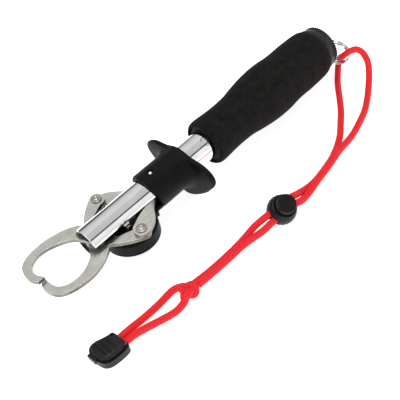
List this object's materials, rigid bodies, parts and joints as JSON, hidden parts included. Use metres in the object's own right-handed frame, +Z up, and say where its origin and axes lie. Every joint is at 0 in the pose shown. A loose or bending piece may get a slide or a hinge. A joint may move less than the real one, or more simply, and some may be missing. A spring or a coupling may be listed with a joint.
{
  "type": "fish lip gripper",
  "caption": "Fish lip gripper: two plate jaws on one pivot, opened by a sliding flanged trigger through two links, with a spring scale in a foam handle, a tape case and a wrist lanyard.",
  "frame": {"origin": "centre of the tool's footprint, on the surface it lies on, the lanyard not counted", "axes": "+X along the tool from handle to jaw tips, +Y to the side where the lanyard lies, +Z up, square to the jaw plates"},
  "size_m": [0.2778, 0.1068, 0.0432],
  "materials": {
    "polished_stainless": "polished stainless steel",
    "satin_stainless": "satin ground stainless plate with rounded edges",
    "plated_steel": "plain plated steel",
    "spring_steel": "drawn spring wire",
    "black_nylon": "fine matt moulded nylon",
    "cap_plastic": "semi-matt moulded plastic with a ribbed edge",
    "black_foam": "ground closed-cell foam",
    "tape_enamel": "enamelled steel tape",
    "red_braid": "braided polyester cord",
    "lock_plastic": "matt moulded plastic",
    "clip_plastic": "semi-matt moulded plastic"
  },
  "bodies": {
    "handle": {"foam_grip": "black_foam", "grip_core_tube": "plated_steel", "grip_front_bushing": "black_nylon", "grip_rear_band": "cap_plastic", "end_cap": "cap_plastic", "scale_spring": "spring_steel", "lanyard_loop": "red_braid", "lanyard_tail_a": "red_braid", "lanyard_tail_b": "red_braid", "lanyard_knot": "red_braid", "cord_lock_body": "lock_plastic", "cord_lock_spring": "spring_steel", "clip_base": "clip_plastic", "clip_hinge_pin": "plated_steel"},
    "tube": {"main_tube": "polished_stainless", "front_pivot_block": "black_nylon", "jaw_pivot_pin": "satin_stainless", "guide_rod": "polished_stainless", "spring_stop_plug": "black_nylon", "scale_collar": "plated_steel", "collar_pin": "plated_steel", "trigger_return_spring": "spring_steel"},
    "trigger": {"trigger_body": "black_nylon", "slide_block": "black_nylon", "link_pin": "polished_stainless", "tape_case_cover": "black_nylon", "cover_screw": "plated_steel", "tape_spool_pin": "black_nylon", "tape_power_spring": "spring_steel"},
    "right_jaw": {"jaw_right": "satin_stainless", "rivet_right": "satin_stainless"},
    "left_jaw": {"jaw_left": "satin_stainless", "rivet_left": "satin_stainless"},
    "right_link": {"link_right": "satin_stainless"},
    "left_link": {"link_left": "satin_stainless"},
    "tape": {"tape_blade": "tape_enamel", "tape_tab": "plated_steel"},
    "spool": {"tape_spool": "black_nylon", "tape_coil": "tape_enamel"},
    "ring": {"split_ring": "polished_stainless"},
    "lock_button": {"cord_lock_button": "lock_plastic"},
    "lid": {"clip_cover": "clip_plastic"}
  },
  "joints": [
    {"name": "scale_slide", "type": "slide", "parent": "handle", "child": "tube", "axis": [1, 0, 0], "range_m": [0, 0.035], "stiffness_N_per_m": 6500, "deforming": ["scale_spring"]},
    {"name": "trigger_slide", "type": "slide", "parent": "tube", "child": "trigger", "axis": [-1, 0, 0], "range_m": [0, 0.0095], "stiffness_N_per_m": 600, "deforming": ["trigger_return_spring"]},
    {"name": "jaw_right_hinge", "type": "hinge", "parent": "tube", "child": "right_jaw", "pos_m": [0.0889, 0, 0.0245], "axis": [0, 0, 1], "range_deg": [0, 18.9]},
    {"name": "jaw_left_hinge", "type": "hinge", "parent": "tube", "child": "left_jaw", "pos_m": [0.0889, 0, 0.0245], "axis": [0, 0, 1], "range_deg": [-18.9, 0]},
    {"name": "link_right_hinge", "type": "hinge", "parent": "trigger", "child": "right_link", "pos_m": [0.0399, 0, 0.0245], "axis": [0, 0, 1], "range_deg": [-13.5, 0]},
    {"name": "link_left_hinge", "type": "hinge", "parent": "trigger", "child": "left_link", "pos_m": [0.0399, 0, 0.0245], "axis": [0, 0, 1], "range_deg": [0, 13.5]},
    {"name": "tape_pull", "type": "slide", "parent": "trigger", "child": "tape", "axis": [0, -1, 0], "range_m": [0, 0.02], "stiffness_N_per_m": 60},
    {"name": "spool_turn", "type": "hinge", "parent": "trigger", "child": "spool", "pos_m": [0.0651, 0, 0.009], "axis": [0, 0, 1], "range_deg": [0, 79], "deforming": ["tape_power_spring"]},
    {"name": "ring_swing", "type": "hinge", "parent": "handle", "child": "ring", "pos_m": [-0.1236, 0.0003, 0.0242], "axis": [0, 0.6702, 0.7422], "range_deg": [-2.5, 1.5]},
    {"name": "lock_button_press", "type": "slide", "parent": "handle", "child": "lock_button", "axis": [-0.038, -0.5296, -0.8474], "range_m": [0, 0.002], "stiffness_N_per_m": 700, "deforming": ["cord_lock_spring"]},
    {"name": "lid_hinge", "type": "hinge", "parent": "handle", "child": "lid", "pos_m": [0.1233, 0.05165, 0.006], "axis": [0, -1, 0], "range_deg": [0, 75]}
  ],
  "couplings": [
    {"joint": "jaw_right_hinge", "follows": "trigger_slide", "rad_per_m": 34.507},
    {"joint": "jaw_left_hinge", "follows": "trigger_slide", "rad_per_m": -34.507},
    {"joint": "link_right_hinge", "follows": "trigger_slide", "rad_per_m": -24.541},
    {"joint": "link_left_hinge", "follows": "trigger_slide", "rad_per_m": 24.541},
    {"joint": "spool_turn", "follows": "tape_pull", "rad_per_m": 68.493}
  ]
}
